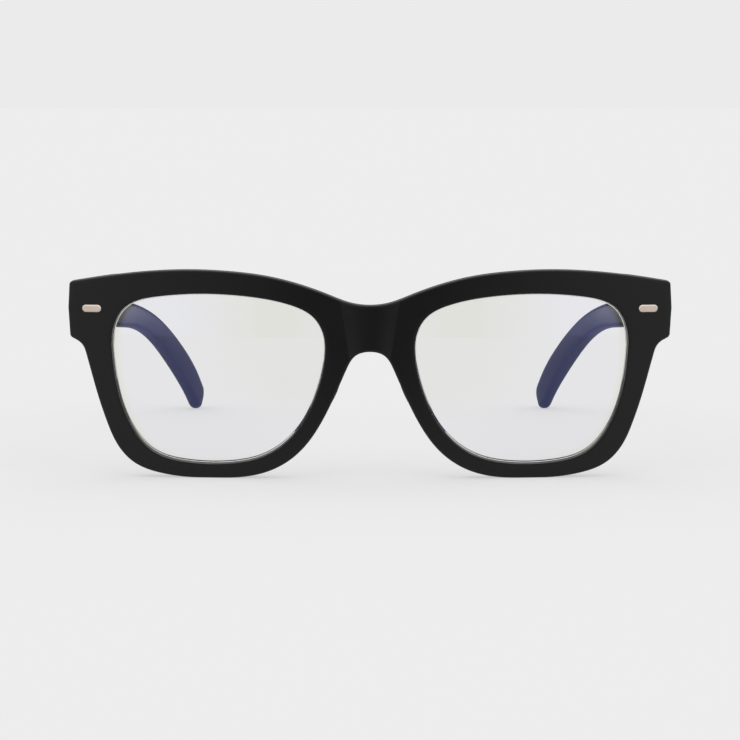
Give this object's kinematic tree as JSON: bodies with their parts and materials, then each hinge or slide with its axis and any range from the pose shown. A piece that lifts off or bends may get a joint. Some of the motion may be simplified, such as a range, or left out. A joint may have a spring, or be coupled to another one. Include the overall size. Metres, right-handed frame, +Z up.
{
  "type": "blue light glasses",
  "caption": "Thick square plastic glasses with clear curved lenses, pill-shaped rivet plaques and folding temples.",
  "frame": {"origin": "on the surface the open glasses stand on, under the middle of their width and depth", "axes": "+X to the wearer's left, +Y from the front to the temple tips, +Z up"},
  "size_m": [0.1436, 0.1446, 0.0494],
  "materials": {
    "frame_plastic": "matte black with a fine grain",
    "lens_clear": "clear with a faint blue coating",
    "plaque_silver": "satin warm silver",
    "hinge_steel": "machined and plated"
  },
  "bodies": {
    "front": {"front_frame": "frame_plastic", "left_lens": "lens_clear", "right_lens": "lens_clear", "left_nose_pad": "frame_plastic", "right_nose_pad": "frame_plastic", "left_front_plaque": "plaque_silver", "right_front_plaque": "plaque_silver", "left_front_hinge_leaf": "hinge_steel", "right_front_hinge_leaf": "hinge_steel", "left_hinge_screw": "hinge_steel", "right_hinge_screw": "hinge_steel"},
    "left_arm": {"left_temple": "frame_plastic", "left_temple_hinge_leaf": "hinge_steel", "left_core_wire": "hinge_steel", "left_temple_rivet_1": "plaque_silver", "left_temple_rivet_2": "plaque_silver"},
    "right_arm": {"right_temple": "frame_plastic", "right_temple_hinge_leaf": "hinge_steel", "right_core_wire": "hinge_steel", "right_temple_rivet_1": "plaque_silver", "right_temple_rivet_2": "plaque_silver"}
  },
  "joints": [
    {"name": "left_temple_fold", "type": "hinge", "parent": "front", "child": "left_arm", "pos_m": [0.0654, -0.05985, 0.0404], "axis": [0, 0.1045, 0.9945], "range_deg": [0, 82.5]},
    {"name": "right_temple_fold", "type": "hinge", "parent": "front", "child": "right_arm", "pos_m": [-0.0654, -0.05985, 0.0404], "axis": [0, -0.1045, -0.9945], "range_deg": [0, 71]}
  ]
}
